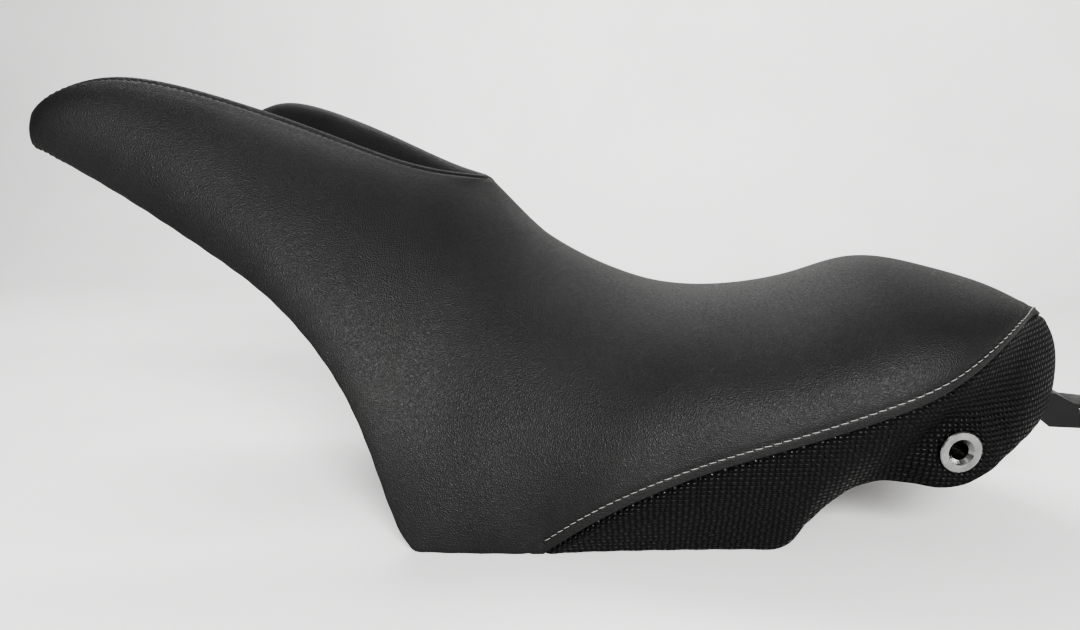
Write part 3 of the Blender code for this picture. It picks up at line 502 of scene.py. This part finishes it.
def woven():
    """Semi-gloss black vinyl embossed with a basket weave; its colour carries painted shade in the
    grooves between the strands and painted light on the horizontal strands.
    """
    f = Finish("woven_vinyl", Specular_IOR_Level=0.32)
    u = f.node("SeparateXYZ", {0: f.node("UVMap", uv_map="weave")})
    v = u.node.outputs[1]
    count = f.math("ADD", f.math("FLOOR", u), f.math("FLOOR", v))
    odd = f.math("ABSOLUTE", f.math("MODULO", count, 2.0))
    fu = f.math("SUBTRACT", f.math("FRACT", u), 0.5)
    fv = f.math("SUBTRACT", f.math("FRACT", v), 0.5)
    even = f.math("SUBTRACT", 1.0, odd)
    across = f.math("ADD", f.math("MULTIPLY", fu, odd), f.math("MULTIPLY", fv, even))
    along = f.math("ADD", f.math("MULTIPLY", fv, odd), f.math("MULTIPLY", fu, even))
    fall = f.math("POWER", f.math("ABSOLUTE", f.math("MULTIPLY", across, 2.0)), 2.4)
    arch = f.math("POWER", f.math("ABSOLUTE", f.math("MULTIPLY", along, 2.0)), 2.0)
    crown = f.math("SUBTRACT", 1.0, f.math("MULTIPLY", arch, 0.75))
    strand = f.math("MULTIPLY", f.math("SUBTRACT", 1.0, fall), crown)
    height = f.math("MULTIPLY", strand, f.math("ADD", f.math("MULTIPLY", even, 0.22), 0.78))
    # Painted shade and light: the colour follows the strand height, darker in the grooves and lighter
    # on the taller horizontal strands, as if lit from above.
    tone = f.ramp(height, (0.05, (0.0008, 0.0008, 0.0009)), (0.8, (0.0040, 0.0040, 0.0040)))
    wear = f.math("MULTIPLY", f.noise(300, 3), 0.2)
    rough = f.ramp(f.math("ADD", f.math("MULTIPLY", height, 0.8), wear), (0.45, 0.72), (0.95, 0.19))
    weave = f.bump(height, 1.0, 1.3 * MM)
    fine = f.bump(f.noise(2200, 2), 0.15, 0.1 * MM, weave)
    return f.give(Base_Color=tone, Roughness=rough, Normal=fine)


def thread(name, low, high):
    """Twisted sewing thread."""
    f = Finish(name, Roughness=0.7)
    tone = f.ramp(f.noise(900, 3), (0.3, low), (0.7, high))
    twist = f.node("TexWave", {"Vector": f.place, "Scale": 520.0, "Distortion": 1.5}, 1,
                   bands_direction="DIAGONAL")
    return f.give(Base_Color=tone, Normal=f.bump(twist, 0.6, 0.2 * MM))


def plastic(name, dark, light, rough_low, rough_high, grain):
    """Moulded plastic or rubber with a fine grain."""
    f = Finish(name, Specular_IOR_Level=0.3)
    tone = f.ramp(f.noise(22, 4), (0.3, dark), (0.7, light))
    rough = f.ramp(f.noise(90, 4), (0.3, rough_low), (0.7, rough_high))
    flow = f.bump(f.noise(45, 3), 0.15, 0.3 * MM)
    fine = f.bump(f.noise(grain, 2), 0.3, 0.12 * MM, flow)
    return f.give(Base_Color=tone, Roughness=rough, Normal=fine)


def metal(name, dark, light, rough_low, rough_high, scale):
    """Plated or drawn steel."""
    f = Finish(name, Metallic=1.0)
    tone = f.ramp(f.noise(60, 4), (0.3, dark), (0.7, light))
    rough = f.ramp(f.noise(220, 4), (0.3, rough_low), (0.7, rough_high))
    marks = f.bump(f.noise(scale, 3), 0.2, 0.06 * MM)
    return f.give(Base_Color=tone, Roughness=rough, Normal=marks)


def turned_metal(name, side):
    """Turned aluminium with rings of tool marks round the axis of its bush."""
    f = Finish(name, Metallic=1.0)
    centre = BUSH_SEAT * (1, -side, 1)
    axis = BUSH_AXIS * (1, -side, 1)
    local = f.node("VectorMath", {0: f.place, 1: tuple(centre)}, operation="SUBTRACT")
    aside = f.node("VectorMath", {0: local, 1: tuple(axis)}, operation="CROSS_PRODUCT")
    radius = f.node("VectorMath", {0: aside}, 1, operation="LENGTH")
    rings = f.node("TexNoise", {"W": radius, "Scale": 5200.0, "Detail": 2.0}, noise_dimensions="1D")
    tone = f.ramp(f.noise(130, 4), (0.3, (0.24, 0.24, 0.235)), (0.7, (0.34, 0.34, 0.335)))
    rough = f.ramp(f.noise(260, 3), (0.3, 0.20), (0.75, 0.32))
    return f.give(Base_Color=tone, Roughness=rough, Normal=f.bump(rings, 0.35, 0.08 * MM))


VINYL = vinyl()
WOVEN = woven()
PALE_THREAD = thread("pale_thread", (0.15, 0.148, 0.14), (0.27, 0.265, 0.25))
BLACK_THREAD = thread("black_thread", (0.006, 0.006, 0.006), (0.016, 0.016, 0.016))
PAN = plastic("pan_plastic", (0.012, 0.012, 0.013), (0.020, 0.020, 0.021), 0.42, 0.62, 1500)
HOOK = plastic("hook_plastic", (0.004, 0.004, 0.004), (0.008, 0.008, 0.008), 0.36, 0.54, 2400)
RUBBER = plastic("rubber", (0.010, 0.010, 0.010), (0.022, 0.021, 0.020), 0.62, 0.85, 1800)
ZINC = metal("zinc_steel", (0.50, 0.50, 0.48), (0.66, 0.65, 0.62), 0.28, 0.46, 900)
STAPLE = metal("staple_steel", (0.42, 0.42, 0.43), (0.60, 0.60, 0.60), 0.26, 0.42, 1200)


def verts_at(mesh, points):
    """Numbers of the vertices of a mesh nearest to the given points."""
    tree = KDTree(len(mesh.vertices))
    for i, co in enumerate(coords(mesh)):
        tree.insert(co, i)
    tree.balance()
    return np.array([tree.find(point)[1] for point in points])


def smooth_along(grid, k, weight, spread):
    """Each point moved by its weight towards the mean of its row over nearby stations."""
    share = np.exp(-((k[:, None] - k[None]) / spread) ** 2) * np.gradient(k)[None]
    share /= share.sum(axis=1, keepdims=True)
    return grid + (np.einsum("ij,jrc->irc", share, grid) - grid) * weight[..., None]


# Main panel: from the top line down to the bottom edge and its hem, then down to the sewn seam
MAIN_K = np.concatenate((SIDE_K, REAR_K[1:]))
main_runs = upper_runs(MAIN_K)
main_reach = run_lengths(main_runs)[:, -1]
main_slant = seam_slant(np.clip(MAIN_K, SEAM_START + 0.02, TAIL - 0.05))
from_top = np.array([main_rows(t, s) for t, s in zip(main_reach, main_slant)])
from_low = main_reach[:, None] - from_top
main_grid = along_runs(main_runs, from_top)
apex_weight = hump(MAIN_K, APEX, APEX_REACH)[:, None] * ease((from_top - 3 * MM) / (30 * MM))
start_weight = hump(MAIN_K, SEAM_START, START_REACH)[:, None]
weight = np.maximum(apex_weight, start_weight) * ease((from_low - 10 * MM) / (40 * MM))
for spread in SMOOTHING:
    main_grid = smooth_along(main_grid, MAIN_K, weight, spread)
side_count = len(SIDE_K)
main_grid[:side_count, -len(HEM_ROUND):] = hems(SIDE_K, main_runs[:side_count], HEM_ROUND)
main_hem = hems(SIDE_K, main_runs[:side_count], HEM_UNDER)
main_hem = np.concatenate((main_grid[:side_count, -1:], main_hem), axis=1)
main_half = sheet_mesh("main_half", [main_grid, main_hem])

# Inside of the notch, down to its own hem
notch_runs = upper_runs(-PRONG_K)
notch_reach = run_lengths(notch_runs)[:, -1]
notch_grid = along_runs(notch_runs, np.array([main_rows(t, 1) for t in notch_reach]))
notch_grid[:, -len(HEM_ROUND):] = hems(-PRONG_K, notch_runs, HEM_ROUND)
notch_grid = np.concatenate((notch_grid, hems(-PRONG_K, notch_runs, HEM_UNDER)), axis=1)
insert_half = sheet_mesh("insert_half", [notch_grid[::-1]])

# Both sheets are drawn down together into the seam between them
main_n, insert_n = normals(main_half), normals(insert_half)
joint = top(PRONG_K) * (1, -1, 1) - (ORIGIN_X, 0, 0)
on_main, on_insert = verts_at(main_half, joint), verts_at(insert_half, joint)
shared = unit(main_n[on_main] + insert_n[on_insert])
main_n[on_main] = insert_n[on_insert] = shared


def prong_seam(co):
    """Groove of the seam along the top of the prong, with a dimple at each stitch."""
    d, s = PRONG_TRACK.near(co)
    needle = 0.5 + 0.5 * np.cos(math.tau * s / PRONG_PITCH)
    return (-1.5 * MM * np.exp(-(d / (0.9 * MM)) ** 2) + 0.35 * MM * hump(d, 4.5 * MM, 2.6 * MM)
            - 0.30 * MM * hump(d, PRONG_STITCH_AT, 0.8 * MM) * needle)


def sewn_fold(co):
    """Fold of the main panel over the woven one, with a dimple at each stitch."""
    d, s = SEAM_TRACK.near(co)
    needle = 0.5 + 0.5 * np.cos(math.tau * s / STITCH_PITCH)
    roll = -(SEAM_LIFT + TUCK) * np.clip(1 - d / FOLD_R, 0, 1) ** 2
    fold = SEAM_LIFT * (1 - ease((d - FOLD_W + 0.3 * MM) / (1.6 * MM)))
    puff = 0.40 * MM * hump(d, 10.5 * MM, 3 * MM)
    return roll + fold + puff - (0.2 + 0.45 * needle) * MM * hump(d, FOLD_W, 0.75 * MM)


def displace(half, outward, *lifts):
    """Lift the vertices of a half sheet, those on the centre plane within the plane."""
    co = coords(half)
    outward[np.abs(co[:, 1]) < ON_CENTRE, 1] = 0
    lift = sum(part(co) for part in lifts)
    set_coords(half, co + unit(outward) * lift[:, None])


displace(main_half, main_n, sewn_fold, prong_seam, edge_pull, nose_gather)
main_mesh = whole(main_half, "main_cover")
co = coords(main_mesh)
on_left = co * np.where(co[:, 1:2] > 0, (1, -1, 1), (1, 1, 1))
free = ease(EDGE_TRACK.near(on_left)[0] / (20 * MM))
set_coords(main_mesh, co + normals(main_mesh) * (uneven(co, 1) * free)[:, None])
main = add("main_cover", main_mesh, VINYL)
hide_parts("cover_main", "foam_core")

displace(insert_half, insert_n, prong_seam, edge_pull, nose_gather)
insert = add("notch_insert", whole(insert_half, "notch_insert"), VINYL)
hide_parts("cover_insert")

# Woven panels, from under the fold of the main panel down to the hem
tuck_runs = upper_runs(REAR_K)
tuck_reach = run_lengths(tuck_runs)[:, -1]
tucked = along_runs(tuck_runs, tuck_reach[:, None] - np.array(((2.4, 1.6, 0.8),)) * MM)
wall_runs = lower_runs(REAR_K)
wall_reach = run_lengths(wall_runs)[:, -1]
wall_grid = along_runs(wall_runs, np.array([weave_rows(t) for t in wall_reach]))
high = wall_reach > 3 * MM
rounded = hems(REAR_K, wall_runs, HEM_ROUND)
wall_grid[high, -1] = rounded[high, -1]
wall_grid[high, -2] = rounded[high, -3]
weave_grid = np.concatenate((tucked, wall_grid, hems(REAR_K, wall_runs, HEM_UNDER)), axis=1)
weave_half = sheet_mesh("weave_half", [weave_grid])

middle_line = (SEAM(REAR_K) + edge(REAR_K)) / 2 * (1, 1, 0)
WEAVE_TRACK = Track(np.vstack([middle_line[:1] + (middle_line[:1] - middle_line[1:2]) * n
                               for n in range(60, 0, -1)] + [middle_line]))


def weave_side(name, side):
    """One woven panel, with the swelling round its bush and the hole for the sleeve."""
    mesh = weave_half.copy()
    co, n = coords(mesh), normals(mesh)
    d = SEAM_TRACK.near(co)[0]
    lift = (-1.3 * MM * np.exp(-(d / (1.5 * MM)) ** 2) + 0.45 * MM * hump(d, 4.5 * MM, 2.6 * MM)
            - 0.9 * MM * np.exp(-(co[:, 1] / (1.3 * MM)) ** 2) + edge_pull(co))
    co = co + n * lift[:, None]
    local = co - BUSH_SEAT
    height = local @ BUSH_AXIS
    radius = np.linalg.norm(local - height[:, None] * BUSH_AXIS, axis=1)
    near = (height > -30 * MM) & (radius < 40 * MM)
    share = 1 - ease((radius - BUSH_R - 0.5 * MM) / BUSH_SWELLING)
    press = -0.12 * MM - height
    bulge = 0.9 * MM * hump(radius, BUSH_R + 3 * MM, 2.6 * MM)
    co += np.where(near, share * press + bulge, 0)[:, None] * BUSH_AXIS
    v = WEAVE_TRACK.near(np.column_stack((co[:, 0], co[:, 1], np.zeros(len(co)))))[1]
    uv = np.column_stack((v / CELL + 40, co[:, 2] * WALL_STRETCH / CELL + 40))
    layer = mesh.uv_layers.new(name="weave")
    corner = np.zeros(len(mesh.loops), int)
    mesh.loops.foreach_get("vertex_index", corner)
    layer.data.foreach_set("uv", uv[corner].astype(np.float32).ravel())
    set_coords(mesh, co * (1, -side, 1))
    if side > 0:
        mesh.flip_normals()
    bm = bmesh.new()
    bm.from_mesh(mesh)
    bm.verts.ensure_lookup_table()
    inside = near & (radius < BUSH_HOLE)
    gone = [face for face in bm.faces if all(inside[vert.index] for vert in face.verts)]
    bmesh.ops.delete(bm, geom=gone, context="FACES")
    bm.to_mesh(mesh)
    bm.free()
    panel = add("woven_panel_" + name, mesh, WOVEN)
    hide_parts("cover_weave_" + name)


for name, side in SIDES:
    weave_side(name, side)


def stitch_mesh(name, points, outward, pitch, length, radius, rise):
    """Row of stitches along a line of points, each dipping into the cover at both ends."""
    steps = np.linalg.norm(np.diff(points, axis=0), axis=1)
    reach = np.concatenate(((0,), np.cumsum(steps)))
    sides, cuts = 7, 8
    verts, faces = [], []
    for count in range(int(reach[-1] / pitch)):
        at = np.linspace(0, length, cuts + 1) + (count + 0.5) * pitch - length / 2
        line = np.stack([np.interp(at, reach, points[:, axis]) for axis in range(3)], axis=1)
        out = unit(np.stack([np.interp(at, reach, outward[:, axis]) for axis in range(3)], axis=1))
        bow = np.sin(np.linspace(0, math.pi, cuts + 1))
        line += out * (rise * bow ** 0.6 - radius * 0.8)[:, None]
        across = unit(np.cross(np.gradient(line, axis=0), out))
        line += across * (np.linspace(-0.5, 0.5, cuts + 1) * 0.5 * MM)[:, None]
        size = radius * (0.55 + 0.45 * bow ** 0.5)
        first = len(verts)
        for p, o, a, r in zip(line, out, across, size):
            for turn in np.linspace(0, math.tau, sides, endpoint=False):
                verts.append(p + (o * math.sin(turn) + a * math.cos(turn)) * r)
        for ring in range(cuts):
            for j in range(sides):
                a, b = first + ring * sides + j, first + ring * sides + (j + 1) % sides
                faces.append((a, b, b + sides, a + sides))
        faces.append(tuple(range(first, first + sides))[::-1])
        faces.append(tuple(range(first + cuts * sides, first + (cuts + 1) * sides)))
    mesh = bpy.data.meshes.new(name)
    mesh.from_pydata([tuple(v) for v in verts], [], faces)
    return mesh


def on_cover(points, raise_by):
    """Points on the finished main cover nearest to a line, with its outward directions there."""
    found, out = [], []
    for point in points:
        _, at, normal, _ = main.closest_point_on_mesh(Vector(point))
        found.append(np.array(at) + np.array(normal) * raise_by)
        out.append(np.array(normal))
    out = np.array(out)
    kernel = np.ones(9) / 9
    padded = np.pad(out, ((4, 4), (0, 0)), mode="edge")
    smooth = np.stack([np.convolve(column, kernel, "valid") for column in padded.T], axis=1)
    return np.array(found), unit(smooth)


fold_k = np.linspace(SEAM_START, TAIL, 700)
fold_runs = upper_runs(fold_k)
fold_slant = seam_slant(np.clip(fold_k, SEAM_START + 0.02, TAIL - 0.05))
fold_at = run_lengths(fold_runs)[:, -1] - FOLD_W * fold_slant
fold_line = along_runs(fold_runs, fold_at[:, None])[:, 0]
prong_k = np.linspace(0.05, APEX, 500)
prong_runs = upper_runs(prong_k)
prong_line = along_runs(prong_runs, np.full((len(prong_k), 1), PRONG_STITCH_AT))[:, 0]
for name, side in SIDES:
    line = fold_line * (1, side, 1) - (ORIGIN_X, 0, 0)
    points, out = on_cover(line, 0.15 * MM)
    mesh = stitch_mesh("seam_thread_" + name, points, out, STITCH_PITCH, STITCH_L, THREAD_R, 0.55 * MM)
    add(mesh.name, mesh, PALE_THREAD)
    line = prong_line * (1, side, 1) - (ORIGIN_X, 0, 0)
    points, out = on_cover(line, 0.1 * MM)
    mesh = stitch_mesh("prong_thread_" + name, points, out, PRONG_PITCH, PRONG_STITCH_L, THREAD_R,
                       0.45 * MM)
    add(mesh.name, mesh, BLACK_THREAD)


def staple_mesh(name, k):
    """Staples along the inside of the hem, each a flat wire with both legs through the cover."""
    behind = (k > SEAM_START)[:, None, None]
    runs = np.where(behind, lower_runs(np.maximum(k, SEAM_START + 0.3)), upper_runs(k))
    foot = hems(k, runs, ((6.9, 4.6), (6.9, 5.4), (8.0, 5.0)))
    steps = np.linalg.norm(np.diff(foot[:, 0], axis=0), axis=1)
    reach = np.concatenate(((0,), np.cumsum(steps)))
    path = ((-0.5, -0.9), (-0.5, 0.15), (-0.44, 0.42), (0.44, 0.42), (0.5, 0.15), (0.5, -0.9))
    verts, faces = [], []
    for count in range(1, int(reach[-1] / STAPLE_PITCH)):
        here = count * STAPLE_PITCH
        spots = [np.stack([np.interp(here + d, reach, foot[:, i, axis]) for axis in range(3)])
                 for i, d in ((0, 0), (1, 0), (2, 0), (0, STAPLE_W / 2), (0, -STAPLE_W / 2))]
        middle = (spots[0] + spots[1]) / 2
        along = unit(spots[3] - spots[4])
        out = unit(spots[2] - middle)
        out = unit(out - along * (out @ along))
        up = np.cross(along, out)
        tilt = STAPLE_TILT * math.sin(count * 2.4)
        turn_cos, turn_sin = math.cos(tilt), math.sin(tilt)
        along, up = along * turn_cos + up * turn_sin, up * turn_cos - along * turn_sin
        first = len(verts)
        for a, h in path:
            centre = middle + along * a * STAPLE_W + out * h * MM
            bend = along * (0.3 * MM if h < 0.3 else 0) * np.sign(a)
            thick = bend if h < 0.3 else out * 0.3 * MM
            for u, t in ((-0.6, -1), (0.6, -1), (0.6, 1), (-0.6, 1)):
                verts.append(centre + up * u * MM + thick * t)
        for ring in range(len(path) - 1):
            for j in range(4):
                a, b = first + ring * 4 + j, first + ring * 4 + (j + 1) % 4
                faces.append((a, b, b + 4, a + 4))
        last = first + 4 * (len(path) - 1)
        faces.append((first, first + 3, first + 2, first + 1))
        faces.append((last, last + 1, last + 2, last + 3))
    verts = np.array(verts) * (1, -1, 1) - (ORIGIN_X, 0, 0)
    count = len(verts)
    verts = np.vstack((verts, verts * (1, -1, 1)))
    faces = [f[::-1] for f in faces] + [tuple(i + count for i in f) for f in faces]
    mesh = bpy.data.meshes.new(name)
    mesh.from_pydata(verts.tolist(), [], faces)
    return mesh


for name, k in (("hem_staples_front", np.linspace(-APEX + 0.1, SEAM_START - 0.1, 900)),
                ("hem_staples_rear", np.linspace(SEAM_START + 0.4, TAIL - 0.1, 600))):
    staples = add(name, staple_mesh(name, k), STAPLE)
    staples.data.polygons.foreach_set("use_smooth", [False] * len(staples.data.polygons))


def smooth_by_angle():
    """Node group for a modifier that shades smoothly across every edge but the sharp ones."""
    group = bpy.data.node_groups.new("smooth_by_angle", "GeometryNodeTree")
    for side in ("INPUT", "OUTPUT"):
        group.interface.new_socket("Geometry", in_out=side, socket_type="NodeSocketGeometry")
    source = group.nodes.new("NodeGroupInput")
    result = group.nodes.new("NodeGroupOutput")
    angle = group.nodes.new("GeometryNodeInputMeshEdgeAngle")
    compare = group.nodes.new("FunctionNodeCompare")
    compare.inputs["B"].default_value = SHARP
    faces = group.nodes.new("GeometryNodeSetShadeSmooth")
    faces.domain = "FACE"
    edges = group.nodes.new("GeometryNodeSetShadeSmooth")
    edges.domain = "EDGE"
    edges.inputs["Shade Smooth"].default_value = False
    group.links.new(angle.outputs["Unsigned Angle"], compare.inputs["A"])
    group.links.new(compare.outputs["Result"], edges.inputs["Selection"])
    group.links.new(source.outputs[0], faces.inputs["Geometry"])
    group.links.new(faces.outputs["Geometry"], edges.inputs["Geometry"])
    group.links.new(edges.outputs["Geometry"], result.inputs[0])
    return group


SMOOTH = smooth_by_angle()

# CAD pieces that stay, by the start of their names, with their finishes
CAD_FINISHES = (("seat_pan", PAN), ("rear_hook_screw", ZINC), ("rear_hook", HOOK), ("bush_nut", ZINC),
                ("front_tongue", ZINC), ("buffer", RUBBER))


def cad_finish(name):
    for start, finish in CAD_FINISHES:
        if name.startswith(start):
            return finish
    return turned_metal("aluminium_" + name, 1 if name.endswith("right") else -1)


for name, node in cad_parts.items():
    if name.startswith(("cover_", "foam")):
        continue
    node.data.materials.clear()
    node.data.materials.append(cad_finish(name))
    if name != "seat_pan":
        bevel = node.modifiers.new("edges", "BEVEL")
        bevel.width = BEVEL
        bevel.segments = 2
        bevel.angle_limit = SHARP
    node.modifiers.new("smooth", "NODES").node_group = SMOOTH

# Floor, light and camera
floor_f = Finish("floor", Roughness=0.8)
floor_tone = floor_f.ramp(floor_f.noise(3, 3), (0.3, (0.84, 0.83, 0.82)), (0.7, (0.89, 0.88, 0.87)))
floor_bump = floor_f.bump(floor_f.noise(300, 2), 0.05, 0.2 * MM)
floor_finish = floor_f.give(Base_Color=floor_tone, Normal=floor_bump)
profile = [(FLOOR_FRONT, 0.0), (COVE_Y, 0.0)]
for turn in np.linspace(0, math.pi / 2, COVE_CUTS)[1:]:
    profile.append((COVE_Y + COVE_R * math.sin(turn), COVE_R - COVE_R * math.cos(turn)))
profile.append((COVE_Y + COVE_R, WALL_TOP))
verts = [(x, y, z) for x in (-FLOOR_X, FLOOR_X) for y, z in profile]
rows = len(profile)
faces = [(i, i + rows, i + rows + 1, i + 1) for i in range(rows - 1)]
sweep = bpy.data.meshes.new("floor")
sweep.from_pydata(verts, [], faces)
sweep.polygons.foreach_set("use_smooth", [True] * len(sweep.polygons))
sweep.materials.append(floor_finish)
floor = bpy.data.objects.new("floor", sweep)
bpy.context.scene.collection.objects.link(floor)


def lamp(name, place, target, size, power):
    """Soft rectangular lamp that faces a target."""
    data = bpy.data.lights.new(name, "AREA")
    data.shape = "RECTANGLE"
    data.size, data.size_y = size
    data.energy = power
    obj = bpy.data.objects.new(name, data)
    bpy.context.scene.collection.objects.link(obj)
    obj.location = place
    obj.rotation_euler = (Vector(target) - Vector(place)).to_track_quat("-Z", "Y").to_euler()


lamp("front", (0.62, -2.2, 0.95), (0.05, 0, 0.08), (1.05, 0.75), 98)
lamp("top", (-0.55, 1.0, 1.75), (0, 0, 0.1), (1.3, 1.0), 18)
world = bpy.data.worlds.new("studio")
world.use_nodes = True
background = world.node_tree.nodes["Background"]
background.inputs["Color"].default_value = (0.95, 0.97, 1.0, 1)
background.inputs["Strength"].default_value = 0.2
bpy.context.scene.world = world
bpy.context.scene.view_settings.look = "AgX - Very High Contrast"

camera_data = bpy.data.cameras.new("camera")
camera_data.lens = 33.33
camera_data.sensor_width = 36
camera = bpy.data.objects.new("camera", camera_data)
bpy.context.scene.collection.objects.link(camera)
camera.location = (0.0997, -0.7016, 0.2265)
camera.rotation_euler = (math.radians(81.9), 0, math.radians(11))
bpy.context.scene.camera = camera
